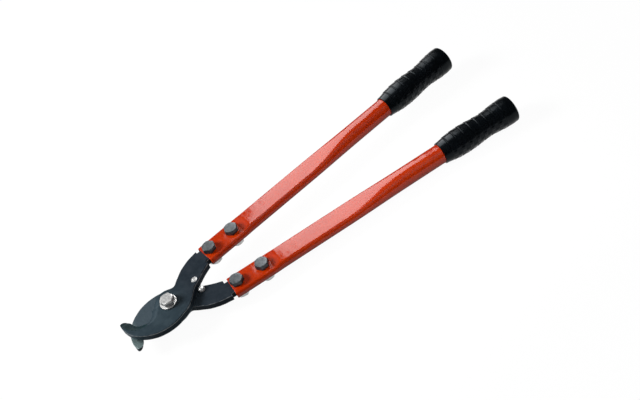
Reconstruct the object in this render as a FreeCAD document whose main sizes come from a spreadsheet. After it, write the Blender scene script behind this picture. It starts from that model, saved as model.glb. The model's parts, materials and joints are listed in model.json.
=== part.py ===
import FreeCAD, Part
import math
import os
import Sketcher
from FreeCAD import Vector, Placement, Rotation

# Two-handed cutters with overlapping hooked jaws, in millimetres.
# Frame: origin on the pivot axis at the end face of the pivot bolt, which the
# tool stands on; +X towards the grips, +Y towards the upper handle, +Z up.

os.makedirs("parts", exist_ok=True)
doc = FreeCAD.newDocument("cutters")

# ---------------------------------------------------------------- the sizes
SIZES = {
    # forged jaws
    "jaw_thick": 10.0,          # plate thickness of one jaw, arm and tang
    "jaw_gap": 0.1,             # running gap between the two jaws
    "jaw_reach": 69.7,          # pivot to the nose of the hook
    "jaw_back": 35.4,           # pivot to the lowest point of the rounded back
    "hook_rise": 26.0,          # how far the hook's tip stands past the pivot line
    "hook_width": 13.5,         # nose of the hook to its cutting side
    "throat_floor": 2.3,        # lowest point of the cutting edge, from the pivot line
    "throat_end": 24.6,         # pivot to the inner end of the cutting edge
    "boss_radius": 24.2,        # round shoulder of the jaw about the pivot
    "bevel_width": 13.0,        # ground face behind the cutting edge
    "edge_land": 0.8,           # thickness left at the cutting edge
    "jaw_round": 1.5,           # rounded outer edges of the forging
    "arm_lean": 32.3,           # slope of the arm's inner edge beside the stop pin
    "arm_heel": 10.8,           # from that place on to the rounded back
    "shoulder_station": 75.5,   # along the handle, from the pivot's foot
    "shoulder_outer": 15.0,     # handle axis to the arm's outer shoulder
    "shoulder_inner": 17.1,     # handle axis to the arm's inner shoulder
    "tang_half": 11.4,          # half width of the tang inside the tube
    "tang_past": 16.6,          # tang beyond the far bolt
    # stop pins
    "pin_x": 45.5,              # pivot to the pin, along the middle line
    "pin_radius": 3.9,
    "pin_wall": 2.7,            # arm left between the pin and its inner edge
    "pin_head_radius": 4.9,
    "pin_head_height": 5.0,
    "stop_gap": 0.9,            # head to the other arm, handles closed
    "pin_edge": 0.6,            # chamfer of the head and of the riveted end
    "dimple_radius": 1.3,
    # handles
    "handle_angle": 5.1,        # each handle from the middle line, closed
    "handle_offset": 27.1,      # handle axis to the pivot axis
    "tube_gap": 5.5,            # shoulder to the tube's open end
    "tube_bare": 340.5,         # open end to the grip's mouth
    "tube_diameter": 28.0,
    "tube_wall": 1.5,
    "flat_past": 10.6,          # flattened stretch beyond the far bolt
    "swell_length": 14.0,       # from there to the top of the low shoulder
    "swell_rise": 3.3,          # how much thicker the pressed stretch is past it
    "bolt_setback": 10.4,       # tube's open end to the near bolt
    "bolt_pitch": 40.0,         # near bolt to the far bolt
    # grips: the rubber's thickness over the tube at four places
    "grip_length": 121.5,
    "grip_cap": 4.0,            # closed end beyond the tube
    "mouth_wall": 1.6,
    "bulge_wall": 5.3,
    "neck_wall": 3.3,
    "flare_wall": 6.5,
    "grip_end_round": 5.0,
    "rib_pitch": 12.6,
    "rib_depth": 0.7,
    "rib_width": 1.6,
    "rib_count": 8,
    # fasteners, all of one thread size
    "thread_radius": 6.0,
    "pivot_clearance": 0.05,    # running fit of the jaws on the pivot bolt
    "hole_clearance": 0.25,     # handle bolts in their holes
    "hex_flats": 18.0,
    "head_height": 7.5,
    "nut_height": 10.8,
    "washer_radius": 12.0,
    "washer_thick": 2.5,
    "slide_gap": 0.1,           # pivot washer over the turning jaw
    "pivot_stand": 2.75,        # pivot bolt's thread standing past its nut
    "bolt_stand": 2.2,          # handle bolt's thread standing past its nut
    "bolt_end_round": 1.0,      # chamfer on the end of a thread
}

sheet = doc.addObject("Spreadsheet::Sheet", "Sizes")
for row, (name, value) in enumerate(SIZES.items(), start=1):
    sheet.set("A%d" % row, name)
    sheet.set("B%d" % row, str(value))
    sheet.setAlias("B%d" % row, name)

# Values that follow from the sizes above, so they are written once.
DERIVED = {
    "jaw_lift": "=jaw_gap / 2",
    "tang_level": "=jaw_gap / 2 + jaw_thick / 2",
    "flat_thick": "=jaw_thick + 2 * tube_wall",
    "head_level": "=jaw_gap / 2 + jaw_thick + slide_gap + washer_thick",
    "nut_level": "=jaw_gap / 2 + jaw_thick + washer_thick",
    "part_level": "=jaw_gap / 2 + jaw_thick + washer_thick + nut_height + pivot_stand",
    "pivot_length": "=jaw_gap + 2 * (jaw_thick + washer_thick) + slide_gap + nut_height + pivot_stand",
    "bolt_length": "=jaw_thick + 2 * tube_wall + nut_height + bolt_stand",
    "hex_corner": "=hex_flats / 2 / cos(30)",
    # the pin stands midway between its own arm's edge and the other arm's
    "pin_y": "=(pin_radius + pin_wall + pin_head_radius + stop_gap) / 2 / cos(arm_lean)",
    # stations along a handle
    "tube_start": "=shoulder_station + tube_gap",
    "bolt_near": "=tube_start + bolt_setback",
    "bolt_far": "=bolt_near + bolt_pitch",
    "tang_end": "=bolt_far + tang_past",
    "flat_end": "=bolt_far + flat_past",
    "swell_end": "=flat_end + swell_length",
    "grip_start": "=tube_start + tube_bare",
    "press_end": "=swell_end + 0.4 * (grip_start - swell_end)",
    "round_start": "=swell_end + 0.776 * (grip_start - swell_end)",
    "tube_end": "=grip_start + grip_length - grip_cap",
    # sections of the tube and of the grip
    "swell_thick": "=flat_thick + swell_rise",
    "mouth_radius": "=tube_diameter / 2 + mouth_wall",
    "bulge_radius": "=tube_diameter / 2 + bulge_wall",
    "neck_radius": "=tube_diameter / 2 + neck_wall",
    "flare_radius": "=tube_diameter / 2 + flare_wall",
}
for row, (name, text) in enumerate(DERIVED.items(), start=len(SIZES) + 2):
    sheet.set("A%d" % row, name)
    sheet.set("B%d" % row, text)
    sheet.setAlias("B%d" % row, name)
doc.recompute()


def size(name):
    """Value of a cell."""
    return float(getattr(sheet, name))


def value(text):
    """Value of an expression over the cells."""
    return float(sheet.evalExpression(text))


# -------------------------------------------------------------- sketch tools
def new_body(label):
    body = doc.addObject("PartDesign::Body", label)
    body.Label = label
    return body


def plane_of(body, role):
    for feature in body.Origin.OriginFeatures:
        if feature.Role == role:
            return feature
    raise RuntimeError("no plane " + role)


def new_sketch(body, name, role, offset=None):
    """Sketch on one of the body's own planes, lifted by an expression."""
    sketch = body.newObject("Sketcher::SketchObject", name)
    sketch.AttachmentSupport = [(plane_of(body, role), "")]
    sketch.MapMode = "FlatFace"
    if offset is not None:
        sketch.setExpression("AttachmentOffset.Base.z", offset)
    return sketch


def sized(text):
    """Name every cell in an expression through the sheet."""
    words = sorted(list(SIZES) + list(DERIVED), key=len, reverse=True)
    out = ""
    place = 0
    while place < len(text):
        found = ""
        before = text[place - 1] if place else " "
        if not (before.isalnum() or before == "_"):
            for word in words:
                after = text[place + len(word):place + len(word) + 1]
                if text.startswith(word, place) and not (after.isalnum() or after == "_"):
                    found = word
                    break
        out += "Sizes." + found if found else text[place]
        place += len(found) if found else 1
    return out


def datum(sketch, kind, places, text):
    """Dimension bound to an expression over the cells."""
    index = sketch.addConstraint(Sketcher.Constraint(kind, *places, value(text)))
    sketch.setExpression("Constraints[%d]" % index, sized(text))


def polygon(body, name, role, points, offset=None):
    """Closed outline of straight edges, each corner bound to two expressions."""
    sketch = new_sketch(body, name, role, offset)
    spots = [Vector(value(x), value(y), 0) for x, y in points]
    count = len(spots)
    for i in range(count):
        sketch.addGeometry(Part.LineSegment(spots[i], spots[(i + 1) % count]))
    for i in range(count):
        sketch.addConstraint(Sketcher.Constraint("Coincident", i, 2, (i + 1) % count, 1))
    for i, (x, y) in enumerate(points):
        datum(sketch, "DistanceX", (i, 1), x)
        datum(sketch, "DistanceY", (i, 1), y)
    return sketch


def circle(body, name, role, radius, offset=None, x="0", y="0"):
    sketch = new_sketch(body, name, role, offset)
    centre = Vector(value(x), value(y), 0)
    sketch.addGeometry(Part.Circle(centre, Vector(0, 0, 1), value(radius)))
    datum(sketch, "Radius", (0,), radius)
    datum(sketch, "DistanceX", (0, 3), x)
    datum(sketch, "DistanceY", (0, 3), y)
    return sketch


def stadium(body, name, offset, half_flat, radius):
    """Flattened tube section: two flats joined by two half rounds."""
    sketch = new_sketch(body, name, "YZ_Plane", offset)
    a = value(half_flat)
    r = value(radius)
    up = Vector(0, 0, 1)
    right = Part.Circle(Vector(a, 0, 0), up, r)
    left = Part.Circle(Vector(-a, 0, 0), up, r)
    sketch.addGeometry(Part.ArcOfCircle(right, -math.pi / 2, math.pi / 2))
    sketch.addGeometry(Part.LineSegment(Vector(a, r, 0), Vector(-a, r, 0)))
    sketch.addGeometry(Part.ArcOfCircle(left, math.pi / 2, 3 * math.pi / 2))
    sketch.addGeometry(Part.LineSegment(Vector(-a, -r, 0), Vector(a, -r, 0)))
    for i in range(4):
        sketch.addConstraint(Sketcher.Constraint("Coincident", i, 2, (i + 1) % 4, 1))
    sketch.addConstraint(Sketcher.Constraint("Horizontal", 1))
    for arc in (0, 2):
        sketch.addConstraint(Sketcher.Constraint("Vertical", arc, 1, arc, 3))
        sketch.addConstraint(Sketcher.Constraint("Vertical", arc, 2, arc, 3))
    sketch.addConstraint(Sketcher.Constraint("PointOnObject", 0, 3, -1))
    sketch.addConstraint(Sketcher.Constraint("PointOnObject", 2, 3, -1))
    datum(sketch, "Radius", (0,), radius)
    datum(sketch, "DistanceX", (0, 3), half_flat)
    datum(sketch, "DistanceX", (2, 3), "-(" + half_flat + ")")
    return sketch


def pad(body, name, sketch, length):
    feature = body.newObject("PartDesign::Pad", name)
    feature.Profile = sketch
    feature.setExpression("Length", sized(length))
    return feature


def cut_through(body, name, sketch):
    """Pocket through everything, both ways."""
    feature = body.newObject("PartDesign::Pocket", name)
    feature.Profile = sketch
    feature.Type = "ThroughAll"
    feature.Midplane = True
    return feature


def turned(body, name, kind, sketch, axis="V_Axis"):
    feature = body.newObject("PartDesign::" + kind, name)
    feature.Profile = sketch
    feature.ReferenceAxis = (sketch, [axis])
    feature.Angle = 360
    return feature


# ------------------------------------------------------------- where things go
def on_handle(side, station, level, flip=False):
    """Placement at a station of a handle; side is +1 upper, -1 lower."""
    tilt = math.radians(size("handle_angle"))
    offset = size("handle_offset")
    x = station * math.cos(tilt) - offset * math.sin(tilt)
    y = side * (station * math.sin(tilt) + offset * math.cos(tilt))
    turn = Rotation(Vector(0, 0, 1), side * size("handle_angle"))
    if flip:
        turn = turn.multiply(Rotation(Vector(1, 0, 0), 180))
    return Placement(Vector(x, y, level), turn)


MIDDLE = size("part_level")
HANDLES = {"upper": 1, "lower": -1}
nodes = {}


# ---------------------------------------------------------------- forged jaws
# The outline is a freely forged curve, and a spline runs through its points.
# HEEL_CURVE is in parts of the pin's distance and of the back, BACK_CURVE in
# parts of the reach and of the back, HOOK_CURVE in parts of the reach and of
# the hook's rise.
HEEL_CURVE = [
    (0.745, -0.297), (0.637, -0.463), (0.539, -0.600), (0.438, -0.703),
    (0.319, -0.792), (0.152, -0.868),
]
BACK_CURVE = [
    (-0.015, -0.945), (-0.130, -0.990), (-0.224, -1.000), (-0.318, -0.990),
    (-0.422, -0.948), (-0.522, -0.887), (-0.615, -0.792), (-0.703, -0.680),
    (-0.802, -0.508), (-0.894, -0.290), (-0.957, -0.024),
]
HOOK_CURVE = [
    (-0.986, 0.27), (-1.000, 0.53), (-0.998, 0.72), (-0.984, 0.885),
    (-0.948, 0.980), (-0.908, 1.000),
]
# The hook's blunt tip on its cutting side: parts of its width and of its rise.
TIP_CURVE = [(-0.34, 0.970), (-0.17, 0.890), (-0.074, 0.820)]
# The cutting edge, from the hook to the boss.
EDGE_CURVE = [
    (0.965, 0.535), (0.890, 0.328), (0.800, 0.185), (0.685, 0.090),
    (0.530, 0.018), (0.385, 0.00), (0.250, 0.050), (0.135, 0.16), (0.050, 0.32),
]
# How the bevel's cutter runs on past both ends of the edge, in hook widths.
BEVEL_BEFORE = [(-0.25, 1.19), (-0.10, 0.52)]
BEVEL_AFTER = [(0.09, 0.44), (0.27, 1.04)]
# The two edges of the arm: station along the handle in parts of the
# shoulder's, and the distance across from the handle's axis in parts of the
# shoulder's on that side.
ARM_INSIDE = [(0.899, -1.175), (0.803, -1.370)]
ARM_OUTSIDE = [
    (0.348, -0.323), (0.430, -0.040), (0.571, 0.420), (0.660, 0.607),
    (0.760, 0.790), (0.865, 0.903),
]
# Round shoulder about the pivot: angle and parts of its radius, to the waist.
BOSS_CURVE = [(128, 1), (110, 1), (90, 1), (74, 1), (62, 1), (47.7, 1.112)]


def handle_point(station, across):
    tilt = math.radians(size("handle_angle"))
    reach = size("handle_offset") + across
    x = station * math.cos(tilt) - reach * math.sin(tilt)
    y = station * math.sin(tilt) + reach * math.cos(tilt)
    return Vector(x, y, 0)


def spline(points):
    curve = Part.BSplineCurve()
    curve.interpolate(points)
    return curve.toShape()


def lifted(points, level):
    return [Vector(p.x, p.y, level) for p in points]


def edge_points():
    """The cutting edge from the hook to its inner end."""
    tip = -size("jaw_reach") + size("hook_width")
    inner = -size("throat_end")
    floor = size("throat_floor")
    top = size("hook_rise") * 0.74
    points = [Vector(tip, top, 0)]
    for along, rise in EDGE_CURVE:
        points.append(Vector(inner + (tip - inner) * along, floor + (top - floor) * rise * 1.5, 0))
    points.append(Vector(inner, floor + (top - floor) * 0.77, 0))
    return points


def jaw_outline():
    """Edges of the forging seen from above, with the blade towards -Y."""
    reach = size("jaw_reach")
    back = size("jaw_back")
    rise = size("hook_rise")
    width = size("hook_width")
    boss = size("boss_radius")
    tang = size("tang_half")
    shoulder = size("shoulder_station")
    end = size("tang_end")
    inside = size("shoulder_inner")
    outside = size("shoulder_outer")
    inner = handle_point(shoulder, -inside)
    outer = handle_point(shoulder, outside)
    edge = edge_points()

    # The arm's inner edge runs straight past its stop pin.
    lean = math.radians(size("arm_lean"))
    along_edge = Vector(math.cos(lean), math.sin(lean), 0)
    off_edge = Vector(math.sin(lean), -math.cos(lean), 0)
    pin = Vector(size("pin_x"), size("pin_y"), 0)
    beside = pin.add(off_edge.multiply(size("pin_radius") + size("pin_wall")))
    heel = beside.sub(along_edge.multiply(size("arm_heel")))

    arm_inside = [inner]
    arm_inside += [handle_point(shoulder * along, inside * across) for along, across in ARM_INSIDE]
    arm_inside += [beside, heel]
    arm_inside += [Vector(pin.x * x, back * y, 0) for x, y in HEEL_CURVE]
    arm_inside += [Vector(reach * x, back * y, 0) for x, y in BACK_CURVE]
    arm_inside += [Vector(reach * x, rise * y, 0) for x, y in HOOK_CURVE]
    arm_inside += [Vector(edge[0].x + width * x, rise * y, 0) for x, y in TIP_CURVE]
    arm_inside.append(edge[0])

    arm_outside = [edge[-1]]
    for turn, share in BOSS_CURVE:
        angle = math.radians(turn)
        arm_outside.append(Vector(boss * share * math.cos(angle), boss * share * math.sin(angle), 0))
    arm_outside += [handle_point(shoulder * along, outside * across) for along, across in ARM_OUTSIDE]
    arm_outside.append(outer)

    tang_points = [
        outer,
        handle_point(shoulder, tang),
        handle_point(end, tang),
        handle_point(end, -tang),
        handle_point(shoulder, -tang),
        inner,
    ]
    return arm_inside, edge, arm_outside, tang_points


def jaw_blank(name):
    """Forged plate with rounded outer edges and the ground cutting bevel."""
    thick = size("jaw_thick")
    inside, edge, outside, tang_points = jaw_outline()
    edges = [spline(inside), spline(edge), spline(outside)]
    for a, b in zip(tang_points, tang_points[1:]):
        edges.append(Part.makeLine(a, b))
    plate = Part.Face(Part.Wire(edges)).extrude(Vector(0, 0, thick))
    rounded = []
    for item in plate.Edges:
        box = item.BoundBox
        if box.ZMin > thick - 0.01 and isinstance(item.Curve, Part.BSplineCurve):
            if item.BoundBox.XMax > -size("throat_end") + 1:
                rounded.append(item)
    plate = plate.makeFillet(size("jaw_round"), rounded)

    # The bevel leans back from the cutting edge all along the throat. Its
    # cutter starts inside the throat and ends above the plate.
    land = size("edge_land")
    width = size("bevel_width")
    slope = (thick - land) / width
    hook = size("hook_width")
    run = [Vector(edge[0].x + hook * x, edge[0].y + hook * y, 0) for x, y in BEVEL_BEFORE]
    run += edge
    run += [Vector(edge[-1].x + hook * x, edge[-1].y + hook * y, 0) for x, y in BEVEL_AFTER]
    high = edge[-1].y + 2 * hook
    past = width * 0.15
    rings = []
    for shift in (-past, width + past):
        points = []
        for i, point in enumerate(run):
            before = run[max(i - 1, 0)]
            after = run[min(i + 1, len(run) - 1)]
            along = after.sub(before).normalize()
            away = Vector(along.y, -along.x, 0)
            points.append(point.add(away.multiply(shift)))
        corners = [points[-1], Vector(points[-1].x, high, 0), Vector(points[0].x, high, 0), points[0]]
        level = land + slope * shift
        corners = lifted(corners, level)
        parts = [spline(lifted(points, level))]
        parts += [Part.makeLine(a, b) for a, b in zip(corners, corners[1:])]
        rings.append(Part.Wire(parts))
    blank = doc.addObject("Part::Feature", name)
    blank.Shape = plate.cut(Part.makeLoft(rings, True, True))
    return blank


def hole(name, radius, x, y, thick):
    """Round cutter standing through a plate."""
    drill = doc.addObject("Part::Cylinder", name)
    drill.setExpression("Radius", sized(radius))
    drill.setExpression("Height", sized(thick + " + 2"))
    drill.Placement = Placement(Vector(x, y, -1), Rotation())
    return drill


for part, side in HANDLES.items():
    near = handle_point(size("bolt_near"), 0)
    far = handle_point(size("bolt_far"), 0)
    drills = doc.addObject("Part::MultiFuse", part + "_jaw_drills")
    drills.Shapes = [
        hole(part + "_pivot_drill", "thread_radius + pivot_clearance", 0, 0, "jaw_thick"),
        hole(part + "_pin_drill", "pin_radius", size("pin_x"), size("pin_y"), "jaw_thick"),
        hole(part + "_near_drill", "thread_radius + hole_clearance", near.x, near.y, "jaw_thick"),
        hole(part + "_far_drill", "thread_radius + hole_clearance", far.x, far.y, "jaw_thick"),
    ]
    jaw = doc.addObject("Part::Cut", part + "_jaw")
    jaw.Base = jaw_blank(part + "_jaw_blank")
    jaw.Tool = drills
    if side > 0:
        jaw.Placement = Placement(Vector(0, 0, MIDDLE + size("jaw_lift")), Rotation())
    else:
        flipped = Rotation(Vector(1, 0, 0), 180)
        jaw.Placement = Placement(Vector(0, 0, MIDDLE - size("jaw_lift")), flipped)
    nodes[part + "_jaw"] = jaw


# ------------------------------------------------------------------ stop pins
# Each pin is driven through its jaw; its head stands on the meeting face and
# stops the other jaw's arm when the handles close.
for part, side in HANDLES.items():
    pin = new_body(part + "_stop_pin")
    corners = [
        ("0", "-pin_head_height"),
        ("pin_head_radius - pin_edge", "-pin_head_height"),
        ("pin_head_radius", "-pin_head_height + pin_edge"),
        ("pin_head_radius", "0"),
        ("pin_radius", "0"),
        ("pin_radius", "jaw_thick - pin_edge"),
        ("pin_radius - pin_edge", "jaw_thick"),
        ("dimple_radius", "jaw_thick"),
        ("0", "jaw_thick - dimple_radius"),
    ]
    profile = polygon(pin, part + "_pin_profile", "XZ_Plane", corners)
    turned(pin, part + "_pin_turned", "Revolution", profile)
    lift = size("jaw_lift")
    if side > 0:
        pin.Placement = Placement(Vector(size("pin_x"), size("pin_y"), MIDDLE + lift), Rotation())
    else:
        flipped = Rotation(Vector(1, 0, 0), 180)
        pin.Placement = Placement(Vector(size("pin_x"), -size("pin_y"), MIDDLE - lift), flipped)
    nodes[part + "_stop_pin"] = pin


# --------------------------------------------------------------- handle tubes
# Round tube, pressed flat over the tang; the perimeter stays the same, so a
# thinner section is a wider one.
def tube_section(body, name, station, thick, wall):
    half_flat = "pi * (tube_diameter - (" + thick + ")) / 4 + 0.05"
    radius = "(" + thick + ") / 2 - " + wall
    return stadium(body, name, sized(station), half_flat, radius)


def eased_steps(first, last, low, high):
    """Stations between two others, the thickness easing from one to the other."""
    rows = []
    for step in (1, 2, 3, 4, 5):
        share = step / 6.0
        eased = share * share * (3 - 2 * share)
        station = "%s + (%s - %s) * %.4f" % (first, last, first, share)
        thick = "%s + (%s - %s) * %.4f" % (low, high, low, eased)
        rows.append((station, thick))
    return rows


def tube_stations():
    """Stations of the tube with the thickness at each."""
    rows = [("tube_start", "flat_thick"), ("flat_end", "flat_thick")]
    rows += eased_steps("flat_end", "swell_end", "flat_thick", "swell_thick")
    rows += [("swell_end", "swell_thick"), ("press_end", "swell_thick")]
    rows += eased_steps("press_end", "round_start", "swell_thick", "tube_diameter")
    rows += [("round_start", "tube_diameter"), ("grip_start", "tube_diameter")]
    return rows


for part, side in HANDLES.items():
    tube = new_body(part + "_tube")
    for kind, wall in (("AdditiveLoft", "0"), ("SubtractiveLoft", "tube_wall")):
        sections = []
        for number, (station, thick) in enumerate(tube_stations()):
            name = "%s_%s_%d" % (part, kind.lower(), number)
            sections.append(tube_section(tube, name, station, thick, wall))
        loft = tube.newObject("PartDesign::" + kind, part + "_" + kind)
        loft.Profile = sections[0]
        loft.Sections = sections[1:]
        loft.Ruled = True
    outer = circle(tube, part + "_round", "YZ_Plane", "tube_diameter / 2", "Sizes.grip_start")
    pad(tube, part + "_round_pad", outer, "tube_end - grip_start")
    inner = circle(tube, part + "_bore", "YZ_Plane", "tube_diameter / 2 - tube_wall", "Sizes.grip_start")
    bore = tube.newObject("PartDesign::Pocket", part + "_bore_cut")
    bore.Profile = inner
    bore.Reversed = True
    bore.setExpression("Length", "Sizes.tube_end - Sizes.grip_start")
    for name, station in (("near", "bolt_near"), ("far", "bolt_far")):
        seat = circle(tube, part + "_" + name + "_seat", "XY_Plane",
                      "thread_radius + hole_clearance", None, station)
        cut_through(tube, part + "_" + name + "_hole", seat)
    tube.Placement = on_handle(side, 0, MIDDLE + side * size("tang_level"))
    nodes[part + "_tube"] = tube


# ----------------------------------------------------------------------- grips
# Moulded sleeve with a closed end, turned about the tube's axis. The ribs are
# left standing between shallow turned grooves.
for part, side in HANDLES.items():
    grip = new_body(part + "_grip")
    corners = [
        ("0", "tube_diameter / 2"),
        ("0", "mouth_radius - 0.8"),
        ("1.2", "mouth_radius"),
        ("grip_length * 0.10", "mouth_radius + (bulge_radius - mouth_radius) * 0.40"),
        ("grip_length * 0.20", "mouth_radius + (bulge_radius - mouth_radius) * 0.84"),
        ("grip_length * 0.30", "bulge_radius"),
        ("grip_length * 0.38", "bulge_radius - 0.1"),
        ("grip_length * 0.46", "neck_radius + (bulge_radius - neck_radius) * 0.62"),
        ("grip_length * 0.54", "neck_radius + (bulge_radius - neck_radius) * 0.20"),
        ("grip_length * 0.62", "neck_radius"),
        ("grip_length * 0.70", "neck_radius + (flare_radius - neck_radius) * 0.20"),
        ("grip_length * 0.78", "neck_radius + (flare_radius - neck_radius) * 0.56"),
        ("grip_length * 0.86", "neck_radius + (flare_radius - neck_radius) * 0.90"),
        ("grip_length * 0.91", "flare_radius"),
        ("grip_length - grip_end_round * 0.7", "flare_radius - 0.6"),
        ("grip_length - grip_end_round * 0.2", "flare_radius - grip_end_round * 0.5"),
        ("grip_length", "flare_radius - grip_end_round * 1.3"),
        ("grip_length", "0"),
        ("tube_end - grip_start", "0"),
        ("tube_end - grip_start", "tube_diameter / 2"),
    ]
    profile = polygon(grip, part + "_grip_profile", "XZ_Plane", corners)
    turned(grip, part + "_grip_turned", "Revolution", profile, "H_Axis")
    doc.recompute()
    before = grip.Shape.Volume
    # One groove follows the sleeve's slope at each rib's place.
    count = int(size("rib_count"))
    for number in range(count):
        middle = "grip_length * 0.10 + rib_pitch * %d" % number
        station = value(middle)
        radius = 0.0
        for (x0, r0), (x1, r1) in zip(corners[2:15], corners[3:16]):
            if value(x0) <= station <= value(x1):
                share = (station - value(x0)) / (value(x1) - value(x0))
                radius = value(r0) + share * (value(r1) - value(r0))
        if radius <= size("tube_diameter") / 2 + size("rib_depth") + 0.5:
            continue
        floor = "%.3f - rib_depth" % radius
        groove = [
            (middle + " - rib_width / 2 - 0.4", "%.3f + 2" % radius),
            (middle + " - rib_width / 2 + 0.3", floor),
            (middle + " + rib_width / 2 - 0.3", floor),
            (middle + " + rib_width / 2 + 0.4", "%.3f + 2" % radius),
        ]
        ring = polygon(grip, "%s_ring_%d" % (part, number), "XZ_Plane", groove)
        turned(grip, "%s_groove_%d" % (part, number), "Groove", ring, "H_Axis")
    doc.recompute()
    if grip.Shape.Volume >= before:
        raise RuntimeError("the grip's grooves cut nothing")
    grip.Placement = on_handle(side, size("grip_start"), MIDDLE + side * size("tang_level"))
    nodes[part + "_grip"] = grip


# ------------------------------------------------------------------- fasteners
def hexagon(body, name, offset=None):
    """Regular hexagon with two corners on the X axis."""
    corners = []
    for number in range(6):
        angle = "%d" % (60 * number)
        corners.append(("hex_corner * cos(" + angle + ")", "hex_corner * sin(" + angle + ")"))
    return polygon(body, name, "XY_Plane", corners, offset)


def corner_groove(body, name, level, lean):
    """Turned chamfer on the hexagon's corners; lean is +1 up, -1 down."""
    rise = "(hex_corner + 1 - hex_flats / 2) * tan(30)"
    sign = "-" if lean > 0 else "+"
    corners = [
        ("hex_flats / 2 - 0.3", level),
        ("hex_corner + 1", level),
        ("hex_corner + 1", "(" + level + ") " + sign + " " + rise),
    ]
    ring = polygon(body, name + "_ring", "XZ_Plane", corners)
    return turned(body, name, "Groove", ring)


def hex_bolt(label, length):
    """Hexagon bolt: the seat under the head is at its z = 0."""
    bolt = new_body(label)
    pad(bolt, label + "_head", hexagon(bolt, label + "_hex"), "head_height")
    shank = polygon(bolt, label + "_shank_profile", "XZ_Plane", [
        ("0", "1"),
        ("thread_radius", "1"),
        ("thread_radius", "-(" + length + ") + bolt_end_round"),
        ("thread_radius - bolt_end_round", "-(" + length + ")"),
        ("0", "-(" + length + ")"),
    ])
    turned(bolt, label + "_shank", "Revolution", shank)
    corner_groove(bolt, label + "_chamfer", "head_height", 1)
    return bolt


def hex_nut(label):
    """Hexagon nut: it hangs from its seat at z = 0."""
    nut = new_body(label)
    pad(nut, label + "_block", hexagon(nut, label + "_hex", "-Sizes.nut_height"), "nut_height")
    cut_through(nut, label + "_thread", circle(nut, label + "_bore", "XY_Plane", "thread_radius"))
    corner_groove(nut, label + "_chamfer", "-nut_height", -1)
    return nut


def washer(label):
    """Flat washer standing on z = 0."""
    ring = new_body(label)
    pad(ring, label + "_disc", circle(ring, label + "_rim", "XY_Plane", "washer_radius"), "washer_thick")
    hole_sketch = circle(ring, label + "_bore", "XY_Plane", "thread_radius + pivot_clearance")
    cut_through(ring, label + "_hole", hole_sketch)
    return ring


pivot_bolt = hex_bolt("pivot_bolt", "pivot_length")
pivot_bolt.Placement = Placement(Vector(0, 0, MIDDLE + size("head_level")), Rotation(Vector(0, 0, 1), -8))
nodes["pivot_bolt"] = pivot_bolt

pivot_nut = hex_nut("pivot_nut")
pivot_nut.Placement = Placement(Vector(0, 0, MIDDLE - size("nut_level")), Rotation(Vector(0, 0, 1), 12))
nodes["pivot_nut"] = pivot_nut

top_washer = washer("pivot_washer_top")
top_level = MIDDLE + size("head_level") - size("washer_thick")
top_washer.Placement = Placement(Vector(0, 0, top_level), Rotation())
nodes["pivot_washer_top"] = top_washer

bottom_washer = washer("pivot_washer_bottom")
bottom_washer.Placement = Placement(Vector(0, 0, MIDDLE - size("nut_level")), Rotation())
nodes["pivot_washer_bottom"] = bottom_washer

BOLT_TURNS = {"upper_near": 12.0, "upper_far": 4.0, "lower_near": -14.0, "lower_far": 6.0}
for part, side in HANDLES.items():
    for name, station in (("near", size("bolt_near")), ("far", size("bolt_far"))):
        turn = Rotation(Vector(0, 0, 1), BOLT_TURNS[part + "_" + name])
        centre = MIDDLE + side * size("tang_level")
        bolt = hex_bolt(part + "_bolt_" + name, "bolt_length")
        spot = on_handle(side, station, centre + size("flat_thick") / 2)
        bolt.Placement = Placement(spot.Base, spot.Rotation.multiply(turn))
        nodes[part + "_bolt_" + name] = bolt
        nut = hex_nut(part + "_nut_" + name)
        spot = on_handle(side, station, centre - size("flat_thick") / 2)
        nut.Placement = Placement(spot.Base, spot.Rotation.multiply(turn))
        nodes[part + "_nut_" + name] = nut

# --------------------------------------------------------------- check and write
doc.recompute()
for item in doc.Objects:
    if "Invalid" in item.State or "Error" in item.State:
        raise RuntimeError(item.Label + " failed: " + str(item.State))
for name, item in nodes.items():
    shape = item.Shape
    if shape.isNull() or not shape.isValid() or len(shape.Solids) != 1:
        raise RuntimeError(name + " is not one valid solid")
    item.Label = name
for name, item in nodes.items():
    item.Shape.exportStep("parts/" + name + ".step")
    box = item.Shape.BoundBox
    print("%-20s %9.0f mm3  x %7.1f %7.1f  y %7.1f %7.1f  z %6.1f %6.1f" % (
        name, item.Shape.Volume, box.XMin, box.XMax, box.YMin, box.YMax, box.ZMin, box.ZMax))
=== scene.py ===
import json
import math

import bmesh
import bpy
import numpy as np
from mathutils import Matrix, Vector, geometry, noise


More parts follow.
